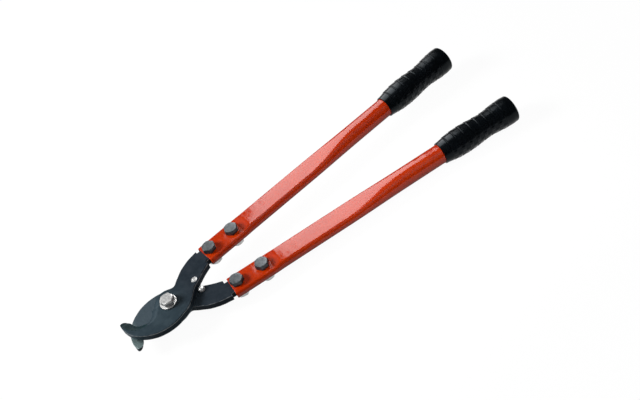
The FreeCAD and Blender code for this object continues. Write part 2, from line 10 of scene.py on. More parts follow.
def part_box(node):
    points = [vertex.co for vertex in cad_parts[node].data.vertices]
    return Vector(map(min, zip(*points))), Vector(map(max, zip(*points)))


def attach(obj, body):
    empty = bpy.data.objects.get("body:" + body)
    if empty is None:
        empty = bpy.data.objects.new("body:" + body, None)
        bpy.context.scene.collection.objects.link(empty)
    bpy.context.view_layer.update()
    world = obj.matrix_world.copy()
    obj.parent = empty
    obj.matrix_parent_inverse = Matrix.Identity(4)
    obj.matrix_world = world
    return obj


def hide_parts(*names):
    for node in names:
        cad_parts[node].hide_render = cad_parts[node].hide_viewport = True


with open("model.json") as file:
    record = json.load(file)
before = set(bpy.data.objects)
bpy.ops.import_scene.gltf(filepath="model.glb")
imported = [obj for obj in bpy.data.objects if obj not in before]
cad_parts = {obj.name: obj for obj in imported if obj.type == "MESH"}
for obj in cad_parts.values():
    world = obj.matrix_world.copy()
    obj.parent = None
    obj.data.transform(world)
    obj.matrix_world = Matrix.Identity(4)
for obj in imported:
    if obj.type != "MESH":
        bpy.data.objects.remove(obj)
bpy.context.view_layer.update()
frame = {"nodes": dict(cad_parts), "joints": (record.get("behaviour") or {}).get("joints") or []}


# ---------------------------------------------------------------- jaws
# Two identical halves, hot forged in tool steel and hardened, one turned over on the other. The skin is
# a dark phosphate over forging scale; the hook's inner side is ground to a wide bevel, and the faces that
# slide on each other are ground flat. They turn on the pivot bolt.
JAW_THICK = 0.010
BEVEL_WIDTH = 0.013
EDGE_LAND = 0.0008
BACK_ROUND = 0.0015
FACE_ROUND = 0.0003
HOLE_ROUND = 0.0004
WAVE_HEIGHT = 0.00007
WAVE_SCALE = 90
WAVE_FADE = 0.004
RIM_STEP = 0.0008
RIM_DEPTHS = (0.00012, 0.0003, 0.0006, 0.0010, 0.0015, 0.0022)
JAW_MARKS = ("from_edge", "along_edge", "from_rim", "ground", "bevel", "worked")
GRID_CLEAR = 0.0028
FACE_STEP = 0.0012
KEEN_LEAN = 0.003
# Where along the jaw, from the pivot, each finish starts, and how far it takes to fade in. The skin is
# painted lighter towards the blade as a sheen, which fades out where the arm starts.
HOOK_SIDE = -0.034
BEVEL_FADE = 0.012
SLID_END = 0.021
TIP_START = -0.050
TIP_FADE = 0.010
ARM_START = 0.045
SHEEN_PAINT_FADE = 0.055
PARTING = frame["joints"][0]["pos_m"][2]
SKIN_DARK = (0.014, 0.021, 0.029, 1)
SKIN_LIGHT = (0.026, 0.034, 0.044, 1)
# Skin tones towards the blade: a painted sheen, lighter than the skin on the arms.
SHEEN_PAINT_DARK = (0.027, 0.043, 0.055, 1)
SHEEN_PAINT_LIGHT = (0.043, 0.064, 0.078, 1)
# The ground bevel's tones. Its grinding lines are its own; its darkness, below both the skin and the ground
# faces, is painted shade.
BEVEL_SHADE_DARK = (0.007, 0.025, 0.030, 1)
BEVEL_SHADE_LIGHT = (0.016, 0.038, 0.044, 1)
GROUND_DARK = (0.050, 0.070, 0.085, 1)
GROUND_LIGHT = (0.086, 0.116, 0.138, 1)
# The tip of the sliding face is painted lighter: a painted highlight.
TIP_PAINTED_SHEEN = (0.140, 0.190, 0.190, 1)
BARE_STEEL = (0.36, 0.37, 0.38, 1)


def cut_outlines(node, level):
    """The closed outlines of a CAD node at one height, the longest first, in the plane of the cut."""
    cut = bmesh.new()
    cut.from_mesh(frame["nodes"][node].data)
    bmesh.ops.remove_doubles(cut, verts=cut.verts, dist=1e-6)
    everything = cut.verts[:] + cut.edges[:] + cut.faces[:]
    made = bmesh.ops.bisect_plane(cut, geom=everything, plane_co=(0, 0, level), plane_no=(0, 0, 1))
    links = {}
    for item in made["geom_cut"]:
        if isinstance(item, bmesh.types.BMEdge):
            first, second = item.verts
            links.setdefault(first, []).append(second)
            links.setdefault(second, []).append(first)
    outlines = []
    while links:
        here = next(iter(links))
        walk = [here]
        while links.get(here):
            there = links[here].pop()
            links[there].remove(here)
            walk.append(there)
            here = there
        for vert in walk:
            if vert in links and not links[vert]:
                del links[vert]
        outlines.append(np.array([vert.co[:2] for vert in walk]))
    cut.free()
    outlines.sort(key=lambda chain: -np.linalg.norm(np.diff(chain, axis=0), axis=1).sum())
    return outlines


def stepped_evenly(chain, step, corner=math.radians(22)):
    """A closed outline with its corners kept and the runs between them in even steps."""
    points = chain[:-1]
    before = points - np.roll(points, 1, axis=0)
    after = np.roll(points, -1, axis=0) - points
    cross = before[:, 0] * after[:, 1] - before[:, 1] * after[:, 0]
    turn = np.abs(np.arctan2(cross, (before * after).sum(axis=1)))
    corners = list(np.where(turn > corner)[0]) or [0]
    result = []
    for index, start in enumerate(corners):
        stop = corners[(index + 1) % len(corners)]
        if stop <= start:
            stop += len(points)
        run = points[np.arange(start, stop + 1) % len(points)]
        along = np.concatenate([[0], np.cumsum(np.linalg.norm(np.diff(run, axis=0), axis=1))])
        count = max(1, round(along[-1] / step))
        places = np.linspace(0, along[-1], count + 1)[:-1]
        result.append(np.stack([np.interp(places, along, run[:, axis]) for axis in (0, 1)], axis=1))
    return np.concatenate(result)


def reach_to(points, chain):
    """How far each point is from a chain of points, and how far along the chain the nearest place is."""
    best = np.full(len(points), 1e9)
    along = np.zeros(len(points))
    passed = 0
    for start, stop in zip(chain[:-1], chain[1:]):
        run = stop - start
        length = np.linalg.norm(run)
        if length < 1e-9:
            continue
        share = np.clip((points - start) @ run / length ** 2, 0, 1)
        gap = np.linalg.norm(points - start - share[:, None] * run, axis=1)
        closer = gap < best
        best[closer] = gap[closer]
        along[closer] = passed + share[closer] * length
        passed += length
    return best, along


def inside(points, loops):
    """True for each point that an odd number of the closed loops goes round."""
    odd = np.zeros(len(points), bool)
    for loop in loops:
        for start, stop in zip(loop, np.roll(loop, -1, axis=0)):
            spans = (start[1] > points[:, 1]) != (stop[1] > points[:, 1])
            rise = stop[1] - start[1] or 1e-12
            crossing = start[0] + (points[:, 1] - start[1]) / rise * (stop[0] - start[0])
            odd ^= spans & (points[:, 0] < crossing)
    return odd


def quarter_round(gap, radius):
    """How far a rounded edge has fallen at a given distance in from the rim."""
    short = np.clip(radius - gap, 0, radius)
    return radius - np.sqrt(radius ** 2 - short ** 2)


def shaded(shell, name, crease):
    """A plain mesh that is shaded smooth, apart from edges that bend by more than the crease's angle."""
    for item in shell.faces:
        item.smooth = True
    for edge in shell.edges:
        if len(edge.link_faces) == 2 and edge.calc_face_angle(0) > crease:
            edge.smooth = False
    mesh = bpy.data.meshes.new(name)
    shell.to_mesh(mesh)
    shell.free()
    return mesh


def forged_half():
    """One jaw half as a closed mesh with its bevel, rounded rim, holes and forging waves, bevel upwards."""
    # The outline at the foot of the cutting edge. Where it lies far outside the outline at half thickness,
    # it is the edge itself, and the rest of it is blunt.
    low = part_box("upper_jaw")[0].z
    loops = [stepped_evenly(chain, RIM_STEP) for chain in cut_outlines("upper_jaw", low + 0.4 * EDGE_LAND)]
    halfway = cut_outlines("upper_jaw", low + 0.5 * JAW_THICK)[0]
    outer = loops[0]
    sharp = reach_to(outer, halfway)[0] > KEEN_LEAN
    first = next(i for i in range(len(outer)) if sharp[i] and not sharp[i - 1])
    order = np.roll(np.arange(len(outer)), -first)
    keen = outer[order[sharp[order]]]
    blunt = outer[order[~sharp[order]]]
    # The points of both faces: the outlines, a few close rings inside them for the rounded rims, and a grid.
    points = []
    edges = []
    for ring in loops:
        base = len(points)
        points.extend(ring)
        edges.extend((base + i, base + (i + 1) % len(ring)) for i in range(len(ring)))
    closed = [np.vstack([ring, ring[:1]]) for ring in loops]
    for depth in RIM_DEPTHS:
        for ring in loops:
            run = np.roll(ring, -1, axis=0) - np.roll(ring, 1, axis=0)
            across = np.stack([-run[:, 1], run[:, 0]], axis=1)
            across /= np.linalg.norm(across, axis=1)[:, None]
            if not inside(ring[:1] + across[:1] * 1e-4, loops)[0]:
                across = -across
            moved = ring + across * depth
            clear = np.min([reach_to(moved, chain)[0] for chain in closed], axis=0) > 0.96 * depth
            points.extend(moved[clear & inside(moved, loops)])
    corner = outer.min(axis=0)
    width, height = outer.max(axis=0) - corner
    row_gap = FACE_STEP * 0.866
    grid = np.array([
        (corner[0] + (i + 0.5 * (j % 2)) * FACE_STEP, corner[1] + j * row_gap)
        for i in range(int(width / FACE_STEP) + 1) for j in range(int(height / row_gap) + 1)
    ])
    clear = np.min([reach_to(grid, chain)[0] for chain in closed], axis=0) > GRID_CLEAR
    points.extend(grid[clear & inside(grid, loops)])
    points = np.array(points)
    drawn = geometry.delaunay_2d_cdt([Vector(p) for p in points], edges, [], 0, 1e-7, True)
    flat = np.array([v[:] for v in drawn[0]])
    faces = np.array([f for f in drawn[2] if len(f) == 3])
    faces = faces[inside(flat[faces].mean(axis=1), loops)]
    origin = {source: new for new, sources in enumerate(drawn[3]) for source in sources}
    # Heights above the lower face: the upper face is rounded at its rims and cut down by the bevel.
    from_keen, along_keen = reach_to(flat, keen)
    from_blunt = reach_to(flat, np.vstack([keen[-1:], blunt, keen[:1]]))[0]
    from_hole = np.min([reach_to(flat, chain)[0] for chain in closed[1:]], axis=0)
    rim_gap = np.where(from_keen < 1e-6, 1, from_blunt)
    back = JAW_THICK - quarter_round(rim_gap, BACK_ROUND) - quarter_round(from_hole, HOLE_ROUND)
    slope = EDGE_LAND + (JAW_THICK - EDGE_LAND) * from_keen / BEVEL_WIDTH
    wave = np.array([noise.noise(Vector((x * WAVE_SCALE, y * WAVE_SCALE, 3))) for x, y in flat])
    back = np.minimum(back + WAVE_HEIGHT * (wave - 0.5) * np.clip(rim_gap / WAVE_FADE, 0, 1), slope)
    face = quarter_round(rim_gap, FACE_ROUND) + quarter_round(from_hole, HOLE_ROUND)
    half = bmesh.new()
    marks = [half.verts.layers.float.new(name) for name in JAW_MARKS]

    def lay(index, height, rim, ground, bevel):
        """A vertex at a height, marked for the material in the order of JAW_MARKS."""
        x, y = flat[index]
        vert = half.verts.new((x, y, low + height))
        bevel = bevel * np.clip((HOOK_SIDE - x) / BEVEL_FADE, 0, 1)
        # The painted sheen: 1 towards the blade, fading to 0 where the arm starts.
        worked = np.clip((ARM_START - x) / SHEEN_PAINT_FADE, 0, 1)
        for mark, value in zip(marks, (from_keen[index], along_keen[index], rim, ground, bevel, worked)):
            vert[mark] = value
        return vert

    # The ground mark is 1 on the face that slides on the other half, and rises to 2 at the tip, where a
    # lighter tone is painted on as sheen.
    top = {}
    under = {}
    for index in np.unique(faces):
        rim = min(from_blunt[index], from_hole[index])
        bevel = float(slope[index] <= back[index] + 1e-7)
        ground_and_tip_sheen = float(flat[index, 0] < SLID_END) + np.clip((TIP_START - flat[index, 0]) / TIP_FADE, 0, 1)
        top[index] = lay(index, back[index], rim, 0, bevel)
        under[index] = lay(index, face[index], min(rim, from_keen[index]), ground_and_tip_sheen, 0)
    for a, b, c in faces:
        half.faces.new((top[a], top[b], top[c]))
        half.faces.new((under[c], under[b], under[a]))
    # The walls between the two faces, with five rows of points on the way.
    for a, b in edges:
        left = origin[a]
        right = origin[b]
        if left not in top or right not in top or left == right:
            continue
        shelf = [(under[left], under[right])]
        for share in (0.06, 0.2, 0.5, 0.8, 0.94):
            row = []
            for index in (left, right):
                height = face[index] + (back[index] - face[index]) * share
                lift = min(share, 1 - share) * (back[index] - face[index])
                row.append(lay(index, height, lift, 0, 0))
            shelf.append(tuple(row))
        shelf.append((top[left], top[right]))
        for (a0, b0), (a1, b1) in zip(shelf[:-1], shelf[1:]):
            half.faces.new((a0, b0, b1, a1))
    bmesh.ops.remove_doubles(half, verts=half.verts, dist=1e-7)
    bmesh.ops.recalc_face_normals(half, faces=half.faces)
    return shaded(half, "forged_half", math.radians(38))


def feed(tree, node, **inputs):
    """A node with its inputs filled, by name or as in0, in1. Another node's socket is linked, not copied."""
    for name, value in inputs.items():
        entry = node.inputs[int(name[2:]) if name.startswith("in") else name.replace("_", " ")]
        if isinstance(value, bpy.types.NodeSocket):
            tree.links.new(value, entry)
        else:
            entry.default_value = value
    return node


def put(tree, kind, settings=None, **inputs):
    """A new node with its settings and its inputs."""
    node = tree.nodes.new(kind)
    for name, value in (settings or {}).items():
        setattr(node, name, value)
    return feed(tree, node, **inputs)


def calc(tree, operation, *values):
    """The result of a Math node."""
    inputs = {f"in{index}": value for index, value in enumerate(values)}
    return put(tree, "ShaderNodeMath", {"operation": operation}, **inputs).outputs[0]


def ease(tree, value, low, high, to_low=0.0, to_high=1.0):
    """A value mapped smoothly from one range to another."""
    settings = {"interpolation_type": "SMOOTHSTEP"}
    inputs = {"in0": value, "in1": low, "in2": high, "in3": to_low, "in4": to_high}
    return put(tree, "ShaderNodeMapRange", settings, **inputs).outputs[0]


def tint(tree, mask, first, second):
    """The first colour where the mask is 0 and the second where it is 1."""
    return put(tree, "ShaderNodeMix", {"data_type": "RGBA"}, in0=mask, in6=first, in7=second).outputs[2]


def group(name, inputs, outputs):
    """A new shader node group, its input node and its output node. An input with no value takes a vector."""
    tree = bpy.data.node_groups.new(name, "ShaderNodeTree")
    for label, value in inputs.items():
        kind = "NodeSocketVector" if value is None else "NodeSocketFloat"
        made = tree.interface.new_socket(name=label, in_out="INPUT", socket_type=kind)
        if value is not None:
            made.default_value = value
    for label, kind in outputs.items():
        tree.interface.new_socket(name=label, in_out="OUTPUT", socket_type=kind)
    return tree, tree.nodes.new("NodeGroupInput"), tree.nodes.new("NodeGroupOutput")


def finish(name):
    """A new material, its tree and its Principled shader."""
    material = bpy.data.materials.new(name)
    material.use_nodes = True
    shader = material.node_tree.nodes["Principled BSDF"]
    return material, material.node_tree, shader


def use(tree, effect, **inputs):
    """A shared effect placed in a material with its own values."""
    return put(tree, "ShaderNodeGroup", {"node_tree": effect}, **inputs)


# Cloudy variation in two sizes, with a fine grain for bump: forging scale, plating bloom, moulded skin.
mottle, ins, outs = group(
    "Mottle", {"Place": None, "Cloud Scale": 60.0, "Grain Scale": 900.0, "Contrast": 1.0},
    {"Cloud": "NodeSocketFloat", "Grain": "NodeSocketFloat", "Height": "NodeSocketFloat"})
cloud = put(mottle, "ShaderNodeTexNoise", Vector=ins.outputs["Place"], Scale=ins.outputs["Cloud Scale"],
            Detail=5.0, Roughness=0.62)
grain = put(mottle, "ShaderNodeTexNoise", Vector=ins.outputs["Place"], Scale=ins.outputs["Grain Scale"],
            Detail=3.0, Roughness=0.55)
swing = calc(mottle, "MULTIPLY", ins.outputs["Contrast"], 0.28)
shade = calc(mottle, "SUBTRACT", ease(mottle, cloud.outputs[0], 0.3, 0.72), 0.5)
shade = calc(mottle, "ADD", 0.5, calc(mottle, "MULTIPLY", shade, ins.outputs["Contrast"]))
height = calc(mottle, "ADD", calc(mottle, "MULTIPLY", cloud.outputs[0], swing), grain.outputs[0])
feed(mottle, outs, Cloud=shade, Grain=grain.outputs[0], Height=height)

# Wear along an edge: a thin broken band where the distance from the edge is small.
worn_edge, ins, outs = group(
    "Worn Edge", {"Place": None, "Distance": 1.0, "Width": 0.0005, "Break Scale": 250.0, "Amount": 0.6},
    {"Mask": "NodeSocketFloat"})
breaks = put(worn_edge, "ShaderNodeTexNoise", Vector=ins.outputs["Place"], Scale=ins.outputs["Break Scale"],
             Detail=3.0)
breadth = ease(worn_edge, breaks.outputs[0], 0.3, 0.7, 0.2, 1.3)
reach = calc(worn_edge, "MULTIPLY", ins.outputs["Width"], breadth)
near = calc(worn_edge, "SUBTRACT", 1.0, ease(worn_edge, ins.outputs["Distance"], 0.0, reach))
feed(worn_edge, outs, Mask=calc(worn_edge, "MULTIPLY", near, ins.outputs["Amount"]))

# Fine straight lines left by a grinding wheel, as long streaks of noise.
tool_lines, ins, outs = group(
    "Tool Lines", {"Along": 0.0, "Across": 0.0, "Line Scale": 4000.0},
    {"Lines": "NodeSocketFloat"})
stretched = calc(tool_lines, "MULTIPLY", ins.outputs["Line Scale"], 0.03)
lane = put(tool_lines, "ShaderNodeCombineXYZ",
           X=calc(tool_lines, "MULTIPLY", ins.outputs["Along"], ins.outputs["Line Scale"]),
           Y=calc(tool_lines, "MULTIPLY", ins.outputs["Across"], stretched))
streak = put(tool_lines, "ShaderNodeTexNoise", Vector=lane.outputs[0], Scale=1.0, Detail=3.0)
feed(tool_lines, outs, Lines=streak.outputs[0])

forged, tree, shader = finish("forged_steel")
place = put(tree, "ShaderNodeTexCoord").outputs["Object"]
from_edge, along_edge, from_rim, ground, bevel, worked = (
    put(tree, "ShaderNodeAttribute", {"attribute_name": name}).outputs["Fac"]
    for name in JAW_MARKS)
scale = use(tree, mottle, Place=place, Cloud_Scale=70.0, Grain_Scale=1100.0, Contrast=1.0)
lines = use(tree, tool_lines, Along=along_edge, Across=from_edge, Line_Scale=3200.0)
wear = use(tree, worn_edge, Place=place, Distance=from_rim, Width=0.0006, Break_Scale=220.0, Amount=0.5)
keen = use(tree, worn_edge, Place=place, Distance=from_edge, Width=0.0011, Break_Scale=160.0, Amount=0.8)
tip_sheen = calc(tree, "SUBTRACT", ground, 1.0)
ragged = calc(tree, "ADD", ground, calc(tree, "MULTIPLY", scale.outputs["Cloud"], 0.12))
ground = ease(tree, ragged, 0.45, 0.6)
bevel = ease(tree, bevel, 0.4, 0.6)
skin = tint(tree, scale.outputs["Cloud"], SKIN_DARK, SKIN_LIGHT)
# The skin grows lighter towards the blade: painted sheen.
bright = tint(tree, scale.outputs["Cloud"], SHEEN_PAINT_DARK, SHEEN_PAINT_LIGHT)
skin = tint(tree, ease(tree, worked, 0.0, 1.0), skin, bright)
# The ground bevel with its grinding lines, darkened as painted shade.
ground_bevel_shade = tint(tree, lines.outputs["Lines"], BEVEL_SHADE_DARK, BEVEL_SHADE_LIGHT)
swept = tint(tree, lines.outputs["Lines"], GROUND_DARK, GROUND_LIGHT)
# A lighter tone at the tip: painted sheen.
swept = tint(tree, calc(tree, "MAXIMUM", tip_sheen, 0.0), swept, TIP_PAINTED_SHEEN)
colour = tint(tree, ground, tint(tree, bevel, skin, ground_bevel_shade), swept)
rubbed = calc(tree, "MAXIMUM", wear.outputs["Mask"], calc(tree, "MULTIPLY", keen.outputs["Mask"], bevel))
metal = calc(tree, "MAXIMUM", calc(tree, "MULTIPLY", ground, 0.85), rubbed)
rough = calc(tree, "ADD", 0.32, calc(tree, "MULTIPLY", scale.outputs["Grain"], 0.14))
rough = calc(tree, "SUBTRACT", rough, calc(tree, "MULTIPLY", ground, 0.06))
cut = calc(tree, "MAXIMUM", ground, bevel)
height = calc(tree, "ADD", calc(tree, "MULTIPLY", scale.outputs["Height"], calc(tree, "SUBTRACT", 1.0, cut)),
              calc(tree, "MULTIPLY", lines.outputs["Lines"], calc(tree, "MULTIPLY", cut, 0.5)))
bump = put(tree, "ShaderNodeBump", Strength=0.45, Distance=0.00012, Height=height)
feed(tree, shader, Base_Color=tint(tree, rubbed, colour, BARE_STEEL), Metallic=metal, Roughness=rough,
     Specular_IOR_Level=0.03, Specular_Tint=(0.80, 0.94, 1.0, 1), Normal=bump.outputs[0])


def piece(name, mesh, material, body, finish_slot, *nodes):
    """An object for a finished mesh that rides on its body in place of its CAD nodes."""
    mesh.name = name
    mesh.materials.clear()
    mesh.materials.append(material)
    thing = bpy.data.objects.new(name, mesh)
    bpy.context.scene.collection.objects.link(thing)
    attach(thing, body)
    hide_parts(*nodes)
    return thing


upper_forging = forged_half()
lower_forging = upper_forging.copy()
turned_over = Matrix.Translation((0, 0, 2 * PARTING)) @ Matrix.Rotation(math.pi, 4, "X")
lower_forging.transform(turned_over)
piece("upper_jaw_forging", upper_forging, forged, "upper_half", "forged_steel", "upper_jaw")
piece("lower_jaw_forging", lower_forging, forged, "lower_half", "forged_steel", "lower_jaw")


# ---------------------------------------------------------------- stop pins
# Two turned steel pins, zinc plated, one pressed through each jaw half. The head on the sliding face stops
# the other half; the shank is peened over into a flat disc with a small dimple on the far face.
PIN_RADIUS = 0.0039
PIN_HEAD_RADIUS = 0.0049
PIN_HEAD_HEIGHT = 0.005
PIN_DOME = 0.0016
PEEN_PROUD = 0.00035
PEEN_SPREAD = 0.0004
DIMPLE_RADIUS = 0.0016
ZINC_DARK = (0.41, 0.41, 0.41, 1)
ZINC_LIGHT = (0.71, 0.71, 0.70, 1)


def skinned(rows, ring=False):
    """A closed mesh over rows of points that each go once round. The rows may close on each other too."""
    rows = np.asarray(rows, float)
    count, around = rows.shape[:2]
    shell = bmesh.new()
    verts = [[shell.verts.new(point) for point in row] for row in rows]
    pairs = [(i, (i + 1) % count) for i in range(count if ring else count - 1)]
    for i, k in pairs:
        for j in range(around):
            n = (j + 1) % around
            shell.faces.new((verts[i][j], verts[i][n], verts[k][n], verts[k][j]))
    bmesh.ops.remove_doubles(shell, verts=shell.verts, dist=1e-7)
    if shell.calc_volume(signed=True) < 0:
        bmesh.ops.reverse_faces(shell, faces=shell.faces)
    return shaded(shell, "skin", math.radians(40))


def turned(profile, centre, around=64):
    """A turned piece: radius and height pairs spun about an upright axis."""
    angles = np.linspace(0, 2 * math.pi, around, endpoint=False)
    return skinned([
        [(centre[0] + r * math.cos(a), centre[1] + r * math.sin(a), z) for a in angles] for r, z in profile])


def softened(profile, radius, steps=3):
    """A profile with each inner corner replaced by a small arc."""
    points = [Vector(p) for p in profile]
    result = [points[0]]
    for before, here, after in zip(points[:-2], points[1:-1], points[2:]):
        back = min(radius, 0.45 * (before - here).length)
        on = min(radius, 0.45 * (after - here).length)
        start = here + (before - here).normalized() * back
        stop = here + (after - here).normalized() * on
        for index in range(steps + 1):
            t = index / steps
            result.append(start * (1 - t) ** 2 + here * 2 * t * (1 - t) + stop * t ** 2)
    result.append(points[-1])
    return [tuple(p) for p in result]


zinc, tree, shader = finish("zinc_steel")
place = put(tree, "ShaderNodeTexCoord").outputs["Object"]
bloom = use(tree, mottle, Place=place, Cloud_Scale=220.0, Grain_Scale=2400.0, Contrast=1.0)
rough = calc(tree, "ADD", 0.20, calc(tree, "MULTIPLY", bloom.outputs["Grain"], 0.22))
bump = put(tree, "ShaderNodeBump", Strength=0.2, Distance=0.00005, Height=bloom.outputs["Height"])
feed(tree, shader, Base_Color=tint(tree, bloom.outputs["Cloud"], ZINC_DARK, ZINC_LIGHT), Metallic=0.6,
     Roughness=rough, Normal=bump.outputs[0])


def pin_profile(face, back, outward):
    """The pin's profile from the top of its head to the dimple in its peened end."""
    head = face + outward * PIN_HEAD_HEIGHT
    peened = back - outward * PEEN_PROUD
    rivet = [
        (PIN_HEAD_RADIUS, face), (PIN_RADIUS, face), (PIN_RADIUS, back + outward * PEEN_SPREAD),
        (PIN_RADIUS + PEEN_SPREAD, back - outward * PEEN_PROUD * 0.4), (PIN_RADIUS - 0.0003, peened),
        (DIMPLE_RADIUS, peened), (0.0012, back + outward * 0.0005), (0, back + outward * 0.0006)]
    fall = outward * PIN_DOME / (1 - math.cos(1.2))
    dome = [(PIN_HEAD_RADIUS * math.sin(a), head - fall * (1 - math.cos(a))) for a in np.linspace(0, 1.2, 8)]
    return dome + softened([dome[-1]] + rivet, 0.0006)[1:]


for half, outward in (("upper", -1), ("lower", 1)):
    low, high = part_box(half + "_stop_pin")
    plate_low, plate_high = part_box(half + "_jaw")
    face, back = (plate_low.z, plate_high.z) if outward < 0 else (plate_high.z, plate_low.z)
    centre = (low + high) / 2
    mesh = turned(pin_profile(face, back, outward), centre)
    piece(half + "_pin", mesh, zinc, half + "_half", "zinc_steel", half + "_stop_pin")


# ---------------------------------------------------------------- handle tubes
# Welded steel tube, pressed flat over the jaw's arm, half flat beyond it and round under the grip, dipped in
# a glossy orange-red enamel. Its open end shows the wall, and the flat stands up a little between the bolts.
HANDLE_ANGLE = math.radians(5.1)
HANDLE_OFFSET = 0.0271
TUBE_DIAMETER = 0.028
TUBE_WALL = 0.0015
TUBE_START = 0.081
TUBE_END = 0.539
BOLT_STATIONS = (0.0914, 0.1314)
SHOULDER_END = 0.170
GRIP_START = 0.4215
END_ROUND = 0.0006
FLAT_GAIN = 0.00005
SWELL_HEIGHT = 0.0005
SWELL_LENGTH = 0.0070
SWELL_WIDTH = 0.008
TUBE_THICK = (
    (TUBE_START, 0.0130), (0.1420, 0.0130), (0.1560, 0.0163), (0.2622, 0.0163), (0.3620, TUBE_DIAMETER),
    (TUBE_END, TUBE_DIAMETER))
ENAMEL_DEEP = (0.42, 0.020, 0.0005, 1)
ENAMEL_FULL = (0.49, 0.034, 0.0009, 1)


def on_handle(side, station, across, up, level):
    """A place given along, across and above a handle's own axis, in the part's frame."""
    x = station * math.cos(HANDLE_ANGLE) - (HANDLE_OFFSET + across) * math.sin(HANDLE_ANGLE)
    y = station * math.sin(HANDLE_ANGLE) + (HANDLE_OFFSET + across) * math.cos(HANDLE_ANGLE)
    return (x, side * y, level + up)


def smooth_table(table, places):
    """Values between the entries of a table on a curve that never overshoots them."""
    x = np.array([row[0] for row in table])
    y = np.array([row[1] for row in table])
    slope = np.diff(y) / np.diff(x)
    lean = np.zeros(len(x))
    for i in range(1, len(x) - 1):
        if slope[i - 1] * slope[i] > 0:
            lean[i] = 2 / (1 / slope[i - 1] + 1 / slope[i])
    k = np.clip(np.searchsorted(x, places, side="right") - 1, 0, len(x) - 2)
    gap = x[k + 1] - x[k]
    t = np.clip((places - x[k]) / gap, 0, 1)
    rise = (2 * t ** 3 - 3 * t ** 2 + 1) * y[k] + (3 * t ** 2 - 2 * t ** 3) * y[k + 1]
    return rise + gap * ((t ** 3 - 2 * t ** 2 + t) * lean[k] + (t ** 3 - t ** 2) * lean[k + 1])


def pressed_section(thick, inset, around=112):
    """The tube's section: two straight sides and two round ends, the same length round at every thickness."""
    straight = math.pi * (TUBE_DIAMETER - thick) / 4 + FLAT_GAIN
    radius = thick / 2 - inset
    turn = np.linspace(0, 2 * math.pi, around, endpoint=False)
    across = radius * np.cos(turn)
    share = np.clip(np.cos(turn) * 1.9, -1, 1)
    return across + straight * share, radius * np.sin(turn)


def bolt_swell(station, across):
    """How far the pressed side stands up between the two bolts that draw it in."""
    middle = BOLT_STATIONS[0] * 0.4 + BOLT_STATIONS[1] * 0.6
    return SWELL_HEIGHT * math.exp(-(((station - middle) / SWELL_LENGTH) ** 2) - (across / SWELL_WIDTH) ** 2)


def tube_mesh(side, level):
    """The enamelled tube, outside and inside, with rounded ends."""
    stations = np.concatenate([
        np.arange(TUBE_START + END_ROUND, SHOULDER_END, 0.0011), np.arange(SHOULDER_END, GRIP_START, 0.0030),
        np.linspace(GRIP_START, TUBE_END - END_ROUND, 12)])
    thick = smooth_table(TUBE_THICK, stations)
    rows = []

    def row(station, thickness, inset):
        """One row of points round the tube, set in from its outer skin."""
        across, up = pressed_section(thickness, inset)
        sign = np.sign(up) * np.clip(np.abs(up) / (thickness / 2), 0, 1) ** 2
        up = up + sign * np.array([bolt_swell(station, a) for a in across])
        rows.append([on_handle(side, station, a, u, level) for a, u in zip(across, up)])

    row(TUBE_START, thick[0], 0.00045)
    row(TUBE_START + 0.00018, thick[0], 0.00014)
    for station, thickness in zip(stations, thick):
        row(station, thickness, 0)
    row(TUBE_END - 0.00018, thick[-1], 0.00014)
    row(TUBE_END, thick[-1], 0.00045)
    row(TUBE_END, thick[-1], TUBE_WALL - 0.0003)
    for station, thickness in list(zip(stations, thick))[::-6]:
        row(station, thickness, TUBE_WALL)
    row(TUBE_START + 0.0004, thick[0], TUBE_WALL)
    row(TUBE_START, thick[0], TUBE_WALL - 0.0003)
    return skinned(rows, ring=True)


enamel, tree, shader = finish("orange_enamel")
place = put(tree, "ShaderNodeTexCoord").outputs["Object"]
flow = use(tree, mottle, Place=place, Cloud_Scale=26.0, Grain_Scale=420.0, Contrast=0.8)
rough = calc(tree, "ADD", 0.30, calc(tree, "MULTIPLY", flow.outputs["Grain"], 0.10))
wave = put(tree, "ShaderNodeTexNoise", Vector=place, Scale=62.0, Detail=1.0)
uneven = put(tree, "ShaderNodeBump", Strength=1.0, Distance=0.0004, Height=wave.outputs[0])
bump = put(tree, "ShaderNodeBump", Strength=0.02, Distance=0.00005, Height=flow.outputs["Grain"],
           Normal=uneven.outputs[0])
feed(tree, shader, Base_Color=tint(tree, flow.outputs["Cloud"], ENAMEL_DEEP, ENAMEL_FULL), Roughness=rough,
     Specular_IOR_Level=0.0, Coat_Weight=0.2, Coat_IOR=2.2, Coat_Roughness=0.15, Normal=bump.outputs[0],
     Coat_Normal=uneven.outputs[0])

for half, side in (("upper", 1), ("lower", -1)):
    low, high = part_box(half + "_tube")
    mesh = tube_mesh(side, (low.z + high.z) / 2)
    piece(half + "_handle_tube", mesh, enamel, half + "_half", "orange_enamel", half + "_tube")


# ---------------------------------------------------------------- grips
# Moulded black vinyl sleeves, pushed on over the tube ends. They are shaped for the hand, with shallow rings
# all round, chequered pads down both flanks, and a smooth flared end.
GRIP_LENGTH = 0.1215
RING_FIRST = 0.10 * GRIP_LENGTH
RING_PITCH = 0.0126
RING_COUNT = 8
PAD_ANGLE = math.radians(20)
GRIP_TURN_IN = 0.971
GRIP_END_RADIUS = 0.0198
GRIP_END_ROUND = 0.0034
GRIP_END_WALL = 0.004
SLEEVE_SKIN = 0.01445
GRIP_PROFILE = (
    (0.0, 0.0160), (0.10, 0.0175), (0.20, 0.0189), (0.30, 0.0194), (0.38, 0.0192), (0.46, 0.0185),
    (0.54, 0.0177), (0.62, 0.0173), (0.70, 0.0180), (0.78, 0.0191), (0.86, 0.0200), (0.91, 0.0203),
    (GRIP_TURN_IN, GRIP_END_RADIUS))
VINYL_DARK = (0.0010, 0.0016, 0.0022, 1)
VINYL_LIGHT = (0.0024, 0.0034, 0.0046, 1)


